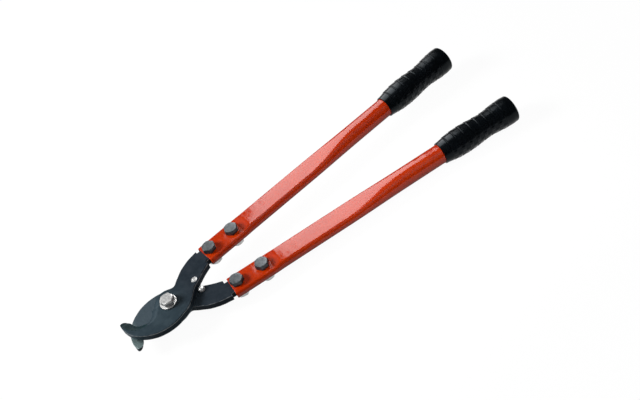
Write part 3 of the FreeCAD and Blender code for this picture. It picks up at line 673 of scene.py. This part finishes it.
def grip_mesh(side, level):
    """The plain sleeve before its rings and pads, with each point's station, turn and reach kept."""
    turn = np.linspace(0, 2 * math.pi, 180, endpoint=False)
    turned_in = GRIP_TURN_IN * GRIP_LENGTH
    body = np.arange(0.0012, turned_in, 0.00048)
    bore = TUBE_DIAMETER / 2 + 0.00003
    floor = GRIP_LENGTH - GRIP_END_WALL
    last = GRIP_LENGTH - 0.0003
    profile = [
        (floor, 0.0), (floor, bore), (0.05, bore), (0.0040, bore), (0.0004, bore),
        (0.0, 0.0143), (0.0, 0.0154), (0.0002, 0.0158), (0.0006, 0.0160)]
    profile += list(zip(body, smooth_table(GRIP_PROFILE, body / GRIP_LENGTH)))
    for bend in np.radians(range(10, 100, 10)):
        shrunk = GRIP_END_ROUND * (1 - math.cos(bend))
        profile.append((turned_in + 0.0032 * math.sin(bend), GRIP_END_RADIUS - shrunk))
    profile += [(last, 0.012), (last, 0.006), (last, 0.0)]
    rows = [[
        on_handle(side, GRIP_START + station, radius * math.cos(t), radius * math.sin(t), level)
        for t in turn] for station, radius in profile]
    mesh = skinned(rows)
    axis = Vector(on_handle(side, 1, 0, 0, 0)) - Vector(on_handle(side, 0, 0, 0, 0))
    start = Vector(on_handle(side, GRIP_START, 0, 0, level))
    outward = Vector((0, 0, 1)).cross(axis)
    along = np.array([(v.co - start).dot(axis) for v in mesh.vertices])
    angle = np.array([math.atan2((v.co - start).z, (v.co - start).dot(outward)) for v in mesh.vertices])
    reach = np.array([((v.co - start) - axis * (v.co - start).dot(axis)).length for v in mesh.vertices])
    for name, values in (("station", along), ("turn", angle), ("reach", reach)):
        mesh.attributes.new(name, "FLOAT", "POINT").data.foreach_set("value", values.astype(np.float32))
    return mesh


def socket(tree, name, kind, value=None, out=False):
    """A named input or output on a Geometry Nodes tree."""
    side = "OUTPUT" if out else "INPUT"
    made = tree.interface.new_socket(name=name, in_out=side, socket_type="NodeSocket" + kind)
    if value is not None:
        made.default_value = value


# Rings and pads raised on the sleeve: a rule on the station along the grip and the turn about it.
relief = bpy.data.node_groups.new("grip relief", "GeometryNodeTree")
socket(relief, "Sleeve", "Geometry")
for name, value in (
        ("Ring First", RING_FIRST), ("Ring Pitch", RING_PITCH), ("Ring Count", float(RING_COUNT)),
        ("Ring Width", 0.0016), ("Ring Depth", 0.0005), ("Bead Height", 0.0005), ("Pad Angle", PAD_ANGLE),
        ("Pad Height", 0.00045)):
    socket(relief, name, "Float", value)
socket(relief, "Finish", "Material")
socket(relief, "Sleeve", "Geometry", out=True)
given = relief.nodes.new("NodeGroupInput")
result = relief.nodes.new("NodeGroupOutput")
station, turn, reach = (
    put(relief, "GeometryNodeInputNamedAttribute", {"data_type": "FLOAT"}, Name=name).outputs["Attribute"]
    for name in ("station", "turn", "reach"))
pitch = given.outputs["Ring Pitch"]
phase = calc(relief, "DIVIDE", calc(relief, "SUBTRACT", station, given.outputs["Ring First"]), pitch)
nearest = calc(relief, "ROUND", phase)
offset = calc(relief, "MULTIPLY", calc(relief, "SUBTRACT", phase, nearest), pitch)
among = calc(relief, "MULTIPLY", calc(relief, "GREATER_THAN", nearest, -0.5),
             calc(relief, "LESS_THAN", nearest, calc(relief, "SUBTRACT", given.outputs["Ring Count"], 0.5)))
half_width = calc(relief, "MULTIPLY", given.outputs["Ring Width"], 0.5)
groove_floor = calc(relief, "MULTIPLY", half_width, 0.3)
groove = ease(relief, calc(relief, "ABSOLUTE", offset), groove_floor, half_width, 1.0, 0.0)
bead_gap = calc(relief, "ABSOLUTE", calc(relief, "SUBTRACT", offset, half_width))
bead = ease(relief, bead_gap, 0.0, half_width, 1.0, 0.0)
ring_height = calc(relief, "SUBTRACT", calc(relief, "MULTIPLY", bead, given.outputs["Bead Height"]),
                   calc(relief, "MULTIPLY", groove, given.outputs["Ring Depth"]))
ring_height = calc(relief, "MULTIPLY", ring_height, among)
column = calc(relief, "DIVIDE", turn, given.outputs["Pad Angle"])
tier = calc(relief, "MULTIPLY", phase, 2.0)
column_part = calc(relief, "ABSOLUTE", calc(relief, "SUBTRACT", calc(relief, "FRACT", column), 0.5))
tier_part = calc(relief, "ABSOLUTE", calc(relief, "SUBTRACT", calc(relief, "FRACT", tier), 0.5))
pad = calc(relief, "MULTIPLY", ease(relief, column_part, 0.34, 0.46, 1.0, 0.0),
           ease(relief, tier_part, 0.32, 0.44, 1.0, 0.0))
parity = calc(relief, "ADD", calc(relief, "FLOOR", column), calc(relief, "FLOOR", tier))
chequer = calc(relief, "LESS_THAN", calc(relief, "FLOORED_MODULO", parity, 2.0), 0.5)
flank = ease(relief, calc(relief, "ABSOLUTE", calc(relief, "COSINE", turn)), 0.52, 0.60)
within = calc(relief, "MULTIPLY", calc(relief, "GREATER_THAN", phase, 0.0),
              calc(relief, "LESS_THAN", phase, calc(relief, "SUBTRACT", given.outputs["Ring Count"], 1.0)))
there = calc(relief, "MULTIPLY", flank, within)
pad = calc(relief, "MULTIPLY", calc(relief, "MULTIPLY", pad, chequer), there)
height = calc(relief, "ADD", ring_height, calc(relief, "MULTIPLY", pad, given.outputs["Pad Height"]))
outside = calc(relief, "GREATER_THAN", reach, SLEEVE_SKIN)
height = calc(relief, "MULTIPLY", height, outside)
lift = put(relief, "ShaderNodeVectorMath", {"operation": "SCALE"},
           in0=put(relief, "GeometryNodeInputNormal").outputs[0], Scale=height)
raised = put(relief, "GeometryNodeSetPosition", Geometry=given.outputs["Sleeve"], Offset=lift.outputs[0])
whole = put(relief, "GeometryNodeRealizeInstances", Geometry=raised.outputs[0])
coloured = put(relief, "GeometryNodeSetMaterial", Geometry=whole.outputs[0],
               Material=given.outputs["Finish"])
feed(relief, result, in0=coloured.outputs[0])


def grown(mesh, tree, material, **inputs):
    """The plain mesh that a Geometry Nodes tree makes from another, with the given inputs."""
    carrier = bpy.data.objects.new("carrier", mesh)
    bpy.context.scene.collection.objects.link(carrier)
    nodes = carrier.modifiers.new("nodes", "NODES")
    nodes.node_group = tree
    values = {name.replace("_", " "): value for name, value in inputs.items()}
    values["Finish"] = material
    for item in tree.interface.items_tree:
        if item.item_type == "SOCKET" and item.in_out == "INPUT" and item.name in values:
            nodes[item.identifier] = values[item.name]
    bpy.context.view_layer.update()
    evaluated = carrier.evaluated_get(bpy.context.evaluated_depsgraph_get())
    result = bpy.data.meshes.new_from_object(evaluated)
    carrier.modifiers.clear()
    bpy.data.objects.remove(carrier)
    return result


vinyl, tree, shader = finish("black_vinyl")
place = put(tree, "ShaderNodeTexCoord").outputs["Object"]
skin = use(tree, mottle, Place=place, Cloud_Scale=48.0, Grain_Scale=1500.0, Contrast=0.9)
rough = calc(tree, "ADD", 0.20, calc(tree, "MULTIPLY", skin.outputs["Grain"], 0.12))
bump = put(tree, "ShaderNodeBump", Strength=0.25, Distance=0.00008, Height=skin.outputs["Height"])
feed(tree, shader, Base_Color=tint(tree, skin.outputs["Cloud"], VINYL_DARK, VINYL_LIGHT), Roughness=rough,
     Specular_IOR_Level=0.12, Specular_Tint=(0.80, 0.92, 1.0, 1), Normal=bump.outputs[0])

for half, side in (("upper", 1), ("lower", -1)):
    low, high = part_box(half + "_tube")
    sleeve = grown(grip_mesh(side, (low.z + high.z) / 2), relief, vinyl)
    piece(half + "_hand_grip", sleeve, vinyl, half + "_half", "black_rubber", half + "_grip")


# ---------------------------------------------------------------- handle bolts and nuts
# Two hexagon bolts clamp each tube on its arm: steel, dull grey from hardening, with a chamfered head. Plain
# zinc-plated nuts hold them from below, and the last turns of thread stand out of the nut.
THREAD_RADIUS = 0.006
THREAD_PITCH = 0.00175
THREAD_DEPTH = 0.0009
THREAD_START = 0.0011
HEX_FLATS = 0.018
HEX_CROWN = 0.475 * HEX_FLATS
HEX_CHAMFER = math.radians(30)
HEAD_HEIGHT = 0.0075
GREY_DARK = (0.048, 0.054, 0.059, 1)
GREY_LIGHT = (0.092, 0.101, 0.107, 1)


def hexagon(angles, flats=HEX_FLATS, sharpness=56):
    """The radius of a hexagon with slightly rounded corners, one corner at angle 0."""
    total = sum(np.abs(np.cos(angles - math.radians(30 + 60 * k)) * 2 / flats) ** sharpness for k in range(3))
    return total ** (-1 / sharpness)


def stacked(rows, angles, ring=False):
    """A mesh from rows of radius and height, each a number or one value for every angle."""
    shape = []
    for radius, z in rows:
        radius = radius + 0 * angles
        z = z + 0 * angles
        shape.append(np.stack([radius * np.cos(angles), radius * np.sin(angles), z], axis=1))
    return skinned(shape, ring=ring)


def chamfered(corner, face, way):
    """The rows over a hexagon's chamfer, from its side to its face. The way is 1 up and -1 down."""
    side = face - way * (corner - HEX_CROWN) * math.tan(HEX_CHAMFER)
    return [
        (corner, side - way * 0.0003), (corner - 0.0001, side - way * 0.0001),
        (corner - 0.0003, side + way * 0.0001), (HEX_CROWN + 0.0002, face - way * 0.00006),
        (HEX_CROWN - 0.0002, face)]


def bolt_mesh(seat, top, end):
    """A bolt on the Z axis, its head chamfered and its shank at the thread's root."""
    angles = np.linspace(0, 2 * math.pi, 96, endpoint=False)
    corner = hexagon(angles)
    root = THREAD_RADIUS - THREAD_DEPTH
    rows = [
        (0.0, end), (root - 0.0012, end), (root - 0.0009, end + 0.0001), (root, end + 0.0009), (root, seat),
        (HEX_CROWN, seat), (HEX_CROWN, seat + 0.0003), (corner - 0.0002, seat + 0.0003),
        (corner, seat + 0.0005)]
    rows += chamfered(corner, top, 1)
    rows += [(HEX_CROWN * 0.6, top), (HEX_CROWN * 0.3, top), (0.0, top)]
    return stacked(rows, angles)


def nut_mesh(seat, under):
    """A hexagon nut on the Z axis, chamfered on both sides, with a countersunk hole."""
    angles = np.linspace(0, 2 * math.pi, 96, endpoint=False)
    corner = hexagon(angles)
    bore = THREAD_RADIUS - 0.0007
    mouth = THREAD_RADIUS + 0.0003
    rows = [(bore, under + 0.0009), (mouth, under)]
    rows += chamfered(corner, under, -1)[::-1]
    rows += chamfered(corner, seat, 1)[:3]
    rows += [(HEX_CROWN, seat), (mouth, seat), (bore, seat - 0.0009)]
    return stacked(rows, angles, ring=True)


# A row of like fasteners: the piece is set at each place in turn, with a coil of thread on its end.
fasteners = bpy.data.node_groups.new("fastener row", "GeometryNodeTree")
socket(fasteners, "Fastener", "Geometry")
socket(fasteners, "First Place", "Vector")
socket(fasteners, "Step", "Vector")
socket(fasteners, "Count", "Int", 1)
for name, value in (
        ("First Turn", 0.0), ("Turn Step", 0.0), ("Thread Radius", THREAD_RADIUS),
        ("Thread Pitch", THREAD_PITCH), ("Thread Turns", 4.0), ("Thread Low", 0.0),
        ("Thread Depth", THREAD_DEPTH)):
    socket(fasteners, name, "Float", value)
socket(fasteners, "Finish", "Material")
socket(fasteners, "Fasteners", "Geometry", out=True)
given = fasteners.nodes.new("NodeGroupInput")
result = fasteners.nodes.new("NodeGroupOutput")
turns = given.outputs["Thread Turns"]
root = calc(fasteners, "SUBTRACT", given.outputs["Thread Radius"], given.outputs["Thread Depth"])
helix = put(fasteners, "GeometryNodeCurveSpiral", Resolution=40, Rotations=turns, Start_Radius=root,
            End_Radius=root, Height=calc(fasteners, "MULTIPLY", turns, given.outputs["Thread Pitch"]))
ridge = put(fasteners, "GeometryNodeCurvePrimitiveQuadrilateral", {"mode": "KITE"},
            Width=calc(fasteners, "MULTIPLY", given.outputs["Thread Pitch"], 0.96),
            Bottom_Height=given.outputs["Thread Depth"], Top_Height=given.outputs["Thread Depth"])
coil = put(fasteners, "GeometryNodeCurveToMesh", Curve=helix.outputs[0], Profile_Curve=ridge.outputs[0],
           Fill_Caps=True)
raise_by = put(fasteners, "ShaderNodeCombineXYZ", Z=given.outputs["Thread Low"])
lifted = put(fasteners, "GeometryNodeTransform", Geometry=coil.outputs[0], Translation=raise_by.outputs[0])
both = put(fasteners, "GeometryNodeJoinGeometry")
for shape in (given.outputs["Fastener"], lifted.outputs[0]):
    fasteners.links.new(shape, both.inputs[0])
threaded = put(fasteners, "GeometryNodeSwitch", {"input_type": "GEOMETRY"},
               in0=calc(fasteners, "GREATER_THAN", turns, 0.0), in1=given.outputs["Fastener"],
               in2=both.outputs[0])
places = put(fasteners, "GeometryNodeMeshLine", Count=given.outputs["Count"],
             Start_Location=given.outputs["First Place"], Offset=given.outputs["Step"])
order = put(fasteners, "GeometryNodeInputIndex").outputs[0]
turning = calc(fasteners, "MULTIPLY", order, given.outputs["Turn Step"])
turning = calc(fasteners, "ADD", given.outputs["First Turn"], turning)
spin = put(fasteners, "ShaderNodeCombineXYZ", Z=turning)
rotation = put(fasteners, "FunctionNodeEulerToRotation", Euler=spin.outputs[0])
stood = put(fasteners, "GeometryNodeInstanceOnPoints", Points=places.outputs[0], Instance=threaded.outputs[0],
            Rotation=rotation.outputs[0])
whole = put(fasteners, "GeometryNodeRealizeInstances", Geometry=stood.outputs[0])
coloured = put(fasteners, "GeometryNodeSetMaterial", Geometry=whole.outputs[0],
               Material=given.outputs["Finish"])
feed(fasteners, result, in0=coloured.outputs[0])

grey, tree, shader = finish("grey_steel")
place = put(tree, "ShaderNodeTexCoord").outputs["Object"]
temper = use(tree, mottle, Place=place, Cloud_Scale=160.0, Grain_Scale=1900.0, Contrast=1.0)
rough = calc(tree, "ADD", 0.34, calc(tree, "MULTIPLY", temper.outputs["Grain"], 0.2))
bump = put(tree, "ShaderNodeBump", Strength=0.35, Distance=0.00008, Height=temper.outputs["Height"])
feed(tree, shader, Base_Color=tint(tree, temper.outputs["Cloud"], GREY_DARK, GREY_LIGHT), Metallic=0.7,
     Roughness=rough, Normal=bump.outputs[0])

for half, side, near_turn, far_turn in (("upper", 1, 12, 4), ("lower", -1, -14, 6)):
    near, far = (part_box(f"{half}_bolt_{which}") for which in ("near", "far"))
    nut_low, nut_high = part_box(half + "_nut_near")
    first = (near[0] + near[1]) / 2
    step = (far[0] + far[1]) / 2 - first
    first.z = 0
    row = {
        "First_Place": first, "Step": step, "Count": 2,
        "First_Turn": side * HANDLE_ANGLE + math.radians(near_turn),
        "Turn_Step": math.radians(far_turn - near_turn)}
    top = near[1].z
    end = near[0].z
    bolt = bolt_mesh(top - HEAD_HEIGHT, top, end)
    bolts = grown(bolt, fasteners, grey, Thread_Low=end + THREAD_START, Thread_Turns=6.0, **row)
    pair = [half + "_bolt_near", half + "_bolt_far"]
    piece(half + "_handle_bolts", bolts, grey, half + "_half", "grey_steel", *pair)
    nuts = grown(nut_mesh(nut_high.z, nut_low.z), fasteners, zinc, Thread_Turns=0.0, **row)
    pair = [half + "_nut_near", half + "_nut_far"]
    piece(half + "_handle_nuts", nuts, zinc, half + "_half", "zinc_steel", *pair)


# ---------------------------------------------------------------- pivot
# One zinc-plated hexagon bolt joins the two jaws, with a thick plain washer under its head and another above
# its nut. It is turned up until the jaws slide without play.
WASHER_ROUND = 0.0006

bolt_low, bolt_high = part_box("pivot_bolt")
nut_low, nut_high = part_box("pivot_nut")
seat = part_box("pivot_washer_top")[1].z
row = {"First_Place": (0, 0, 0), "Step": (0, 0, 0), "Count": 1, "Turn_Step": 0.0}
bolt = bolt_mesh(seat, bolt_high.z, bolt_low.z)
thread = {"Thread_Low": bolt_low.z + THREAD_START, "Thread_Turns": 7.0}
mesh = grown(bolt, fasteners, zinc, First_Turn=math.radians(-8), **thread, **row)
piece("pivot_hex_bolt", mesh, zinc, "lower_half", "zinc_steel", "pivot_bolt")
nut = nut_mesh(nut_high.z, nut_low.z)
mesh = grown(nut, fasteners, zinc, First_Turn=math.radians(12), Thread_Turns=0.0, **row)
piece("pivot_hex_nut", mesh, zinc, "lower_half", "zinc_steel", "pivot_nut")
for which in ("top", "bottom"):
    low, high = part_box("pivot_washer_" + which)
    radius = (high.x - low.x) / 2
    bore = THREAD_RADIUS + 0.0003
    section = [
        (bore, low.z + 0.001), (bore, low.z), (radius, low.z), (radius, high.z), (bore, high.z),
        (bore, low.z + 0.001)]
    angles = np.linspace(0, 2 * math.pi, 96, endpoint=False)
    mesh = stacked(softened(section, WASHER_ROUND)[:-1], angles, ring=True)
    piece("pivot_plain_washer_" + which, mesh, zinc, "lower_half", "zinc_steel", "pivot_washer_" + which)


# ---------------------------------------------------------------- floor, light and camera
# A wide white floor, a square softbox from behind on the left as the key, a weak lamp overhead and a narrow
# one in front of the handles. Three cards are seen only as reflections in the steel, enamel and vinyl.
FLOOR_REACH = 30
FLOOR_LEVEL = -0.0004
floor_mesh = bpy.data.meshes.new("floor")
corners = [(x * FLOOR_REACH, y * FLOOR_REACH, FLOOR_LEVEL) for x, y in ((-1, -1), (1, -1), (1, 1), (-1, 1))]
floor_mesh.from_pydata(corners, [], [(0, 1, 2, 3)])
floor = bpy.data.objects.new("floor", floor_mesh)
bpy.context.scene.collection.objects.link(floor)
paper = bpy.data.materials.new("floor_paper")
paper.use_nodes = True
tree = paper.node_tree
tree.nodes.clear()
path = put(tree, "ShaderNodeLightPath")
seen = calc(tree, "MAXIMUM", path.outputs["Is Camera Ray"], path.outputs["Is Glossy Ray"])
seen = calc(tree, "MAXIMUM", seen, path.outputs["Is Transmission Ray"])
matt = put(tree, "ShaderNodeBsdfDiffuse", Color=(0.18, 0.18, 0.18, 1))
glow = put(tree, "ShaderNodeEmission", Color=(1, 1, 1, 1), Strength=0.955)
faint = put(tree, "ShaderNodeBsdfDiffuse", Color=(0.06, 0.06, 0.06, 1))
white = put(tree, "ShaderNodeAddShader", in0=glow.outputs[0], in1=faint.outputs[0])
mixed = put(tree, "ShaderNodeMixShader", in0=seen, in1=matt.outputs[0], in2=white.outputs[0])
put(tree, "ShaderNodeOutputMaterial", Surface=mixed.outputs[0])
floor_mesh.materials.append(paper)

world = bpy.data.worlds.new("sky")
bpy.context.scene.world = world
world.use_nodes = True
feed(world.node_tree, world.node_tree.nodes["Background"], Color=(0.92, 0.96, 1.0, 1), Strength=0.05)


def facing(back, up):
    """The turn of a lamp or a camera that looks away from back, with up upwards."""
    return Matrix((up.cross(back), up, back)).transposed().to_euler()


def softbox(name, centre, aim, size, radiance):
    """A rectangular lamp that faces a point, as bright as the given radiance."""
    lamp = bpy.data.lights.new(name, "AREA")
    lamp.shape = "RECTANGLE"
    lamp.size, lamp.size_y = size
    lamp.energy = radiance * math.pi * size[0] * size[1]
    holder = bpy.data.objects.new(name, lamp)
    bpy.context.scene.collection.objects.link(holder)
    holder.location = centre
    back = (Vector(centre) - Vector(aim)).normalized()
    up = back.cross(Vector((1, 0, 0))).normalized()
    holder.rotation_euler = facing(back, up)
    holder.visible_camera = False
    return holder


# Each lamp's name, centre, the point it faces, sides, radiance, spread and kind. Soft lamps light only matt
# surfaces, and cards are seen only in glossy ones.
LAMPS = (
    ("left_softbox", (-2.058, 1.177, 1.751), (0.1, 0.0, 0.03), (1.1, 1.1), 30.5, 180, "soft"),
    ("left_card", (-0.55, 0.60, 1.10), (0.4, 0.0, 0.03), (0.4, 0.9), 8.0, 180, "card"),
    ("back_card", (-0.20, 0.80, 0.85), (0.0, 0.0, 0.03), (0.7, 0.7), 0.70, 180, "card"),
    ("gloss_card", (0.452, 0.499, 0.526), (0.452, 0.0, 0.035), (0.388, 0.79), 8.2, 180, "card"),
    ("top_fill", (0.3, -0.35, 2.0), (0.25, 0.0, 0.03), (1.2, 1.2), 1.35, 180, "soft"),
    ("right_fill", (0.43, -0.30, 0.42), (0.31, 0.0, 0.03), (0.4, 0.4), 0.58, 55, "soft"),
)
for *setting, spread, kind in LAMPS:
    lamp = softbox(*setting)
    lamp.data.spread = math.radians(spread)
    lamp.visible_glossy = kind == "card"
    lamp.visible_diffuse = kind == "soft"

CAMERA_TARGET = (0.2497, -0.0036, 0.0261)
CAMERA_DISTANCE = 1.5141
CAMERA_AZIMUTH = math.radians(-16.505)
CAMERA_ELEVATION = math.radians(45.009)
CAMERA_ROLL = math.radians(24.634)
CAMERA_LENS = 61.53
flat_share = math.cos(CAMERA_ELEVATION)
back = Vector((
    math.sin(CAMERA_AZIMUTH) * flat_share, -math.cos(CAMERA_AZIMUTH) * flat_share,
    math.sin(CAMERA_ELEVATION)))
level_right = Vector((0, 0, 1)).cross(back).normalized()
level_up = back.cross(level_right)
up = level_up * math.cos(CAMERA_ROLL) + level_right * math.sin(CAMERA_ROLL)
camera = bpy.data.objects.new("camera", bpy.data.cameras.new("camera"))
camera.data.lens = CAMERA_LENS
camera.location = Vector(CAMERA_TARGET) + back * CAMERA_DISTANCE
camera.rotation_euler = facing(back, up)
bpy.context.scene.collection.objects.link(camera)
bpy.context.scene.camera = camera
bpy.context.scene.view_settings.view_transform = "Standard"
